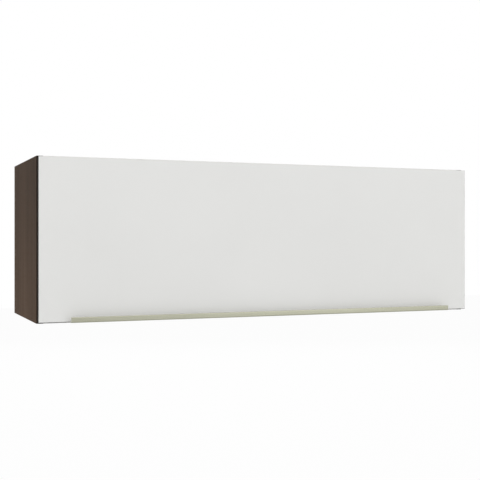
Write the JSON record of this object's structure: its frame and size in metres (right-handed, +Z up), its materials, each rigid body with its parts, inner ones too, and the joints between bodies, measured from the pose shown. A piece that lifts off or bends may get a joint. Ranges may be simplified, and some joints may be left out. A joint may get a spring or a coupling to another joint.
{
  "type": "lift up wall cabinet",
  "caption": "Wide wall-hung kitchen cabinet: dark wood box with a white lift-up door on knuckle hinges, parallelogram lifting linkages and an aluminium pull lip along the door's lower edge.",
  "frame": {"origin": "on the wall, in the middle of the upper hanging rail's back face, where the fixing screws go through", "axes": "+X runs to the right seen from the front, +Y runs into the wall, +Z runs up; the door faces -Y"},
  "size_m": [1.2, 0.393, 0.397],
  "materials": {
    "dark_wood_board": "dark brown wood decor, matt, fine upright grain",
    "white_board": "white melamine-faced board, matt",
    "raw_board": "bare particle board",
    "white_door": "white lacquered board, silk matt",
    "dark_edge_band": "dark brown edge band",
    "champagne_aluminium": "champagne anodised, satin",
    "bright_steel": "nickel plated steel",
    "cast_zinc": "die-cast zinc",
    "grey_housing": "glass-filled grey plastic",
    "cover_plastic": "light grey moulded cover",
    "clear_rubber": "milky soft plastic"
  },
  "bodies": {
    "cabinet": {"side_panel_left": "dark_wood_board", "side_panel_right": "dark_wood_board", "top_panel": "white_board", "bottom_panel": "white_board", "back_panel": "white_board", "side_edge_left": "dark_wood_board", "side_edge_right": "dark_wood_board", "top_edge": "white_board", "bottom_edge": "white_board", "hanging_rail_upper": "raw_board", "hanging_rail_lower": "raw_board", "cam_lock_top_left_front": "cast_zinc", "cam_lock_top_left_rear": "cast_zinc", "cam_lock_top_right_front": "cast_zinc", "cam_lock_top_right_rear": "cast_zinc", "cam_lock_bottom_left_front": "cast_zinc", "cam_lock_bottom_left_rear": "cast_zinc", "cam_lock_bottom_right_front": "cast_zinc", "cam_lock_bottom_right_rear": "cast_zinc", "hinge_board_leaf_1": "bright_steel", "hinge_board_leaf_2": "bright_steel", "hinge_board_leaf_3": "bright_steel", "hinge_pin_1": "bright_steel", "hinge_pin_2": "bright_steel", "hinge_pin_3": "bright_steel", "lift_base_plate_left": "bright_steel", "lift_base_plate_right": "bright_steel", "lift_housing_left": "grey_housing", "lift_housing_right": "grey_housing", "lift_adjuster_left": "bright_steel", "lift_adjuster_right": "bright_steel", "lift_cover_left": "cover_plastic", "lift_cover_right": "cover_plastic", "lift_pivot_pin_left": "bright_steel", "lift_pivot_pin_right": "bright_steel"},
    "door": {"door_panel": "white_door", "door_edge_top": "dark_edge_band", "door_edge_bottom": "dark_edge_band", "door_edge_left": "dark_edge_band", "door_edge_right": "dark_edge_band", "hinge_door_leaf_1": "bright_steel", "hinge_door_leaf_2": "bright_steel", "hinge_door_leaf_3": "bright_steel", "lift_door_bracket_left": "bright_steel", "lift_door_bracket_right": "bright_steel", "lift_door_rivet_left": "bright_steel", "lift_door_rivet_right": "bright_steel", "handle_lip": "champagne_aluminium", "handle_screw_1": "bright_steel", "handle_screw_2": "bright_steel", "handle_screw_3": "bright_steel", "handle_screw_4": "bright_steel", "door_buffer_left": "clear_rubber", "door_buffer_right": "clear_rubber"},
    "lever_left": {"lift_lever_left": "bright_steel", "lift_knee_rivet_left": "bright_steel"},
    "lever_right": {"lift_lever_right": "bright_steel", "lift_knee_rivet_right": "bright_steel"},
    "link_left": {"lift_link_left": "bright_steel"},
    "link_right": {"lift_link_right": "bright_steel"}
  },
  "joints": [
    {"name": "door_lift", "type": "hinge", "parent": "cabinet", "child": "door", "pos_m": [0, -0.3552, 0.0493], "axis": [-1, 0, 0], "range_deg": [0, 95]},
    {"name": "lever_left_turn", "type": "hinge", "parent": "cabinet", "child": "lever_left", "pos_m": [-0.576, -0.2912, 0.0053], "axis": [-1, 0, 0], "range_deg": [0, 95]},
    {"name": "lever_right_turn", "type": "hinge", "parent": "cabinet", "child": "lever_right", "pos_m": [0.576, -0.2912, 0.0053], "axis": [-1, 0, 0], "range_deg": [0, 95]},
    {"name": "link_left_turn", "type": "hinge", "parent": "lever_left", "child": "link_left", "pos_m": [-0.573, -0.2734, -0.1147], "axis": [-1, 0, 0], "range_deg": [-95, 0]},
    {"name": "link_right_turn", "type": "hinge", "parent": "lever_right", "child": "link_right", "pos_m": [0.573, -0.2734, -0.1147], "axis": [-1, 0, 0], "range_deg": [-95, 0]}
  ],
  "couplings": [
    {"joint": "lever_left_turn", "follows": "door_lift", "ratio": 1},
    {"joint": "lever_right_turn", "follows": "door_lift", "ratio": 1},
    {"joint": "link_left_turn", "follows": "door_lift", "ratio": -1},
    {"joint": "link_right_turn", "follows": "door_lift", "ratio": -1}
  ]
}
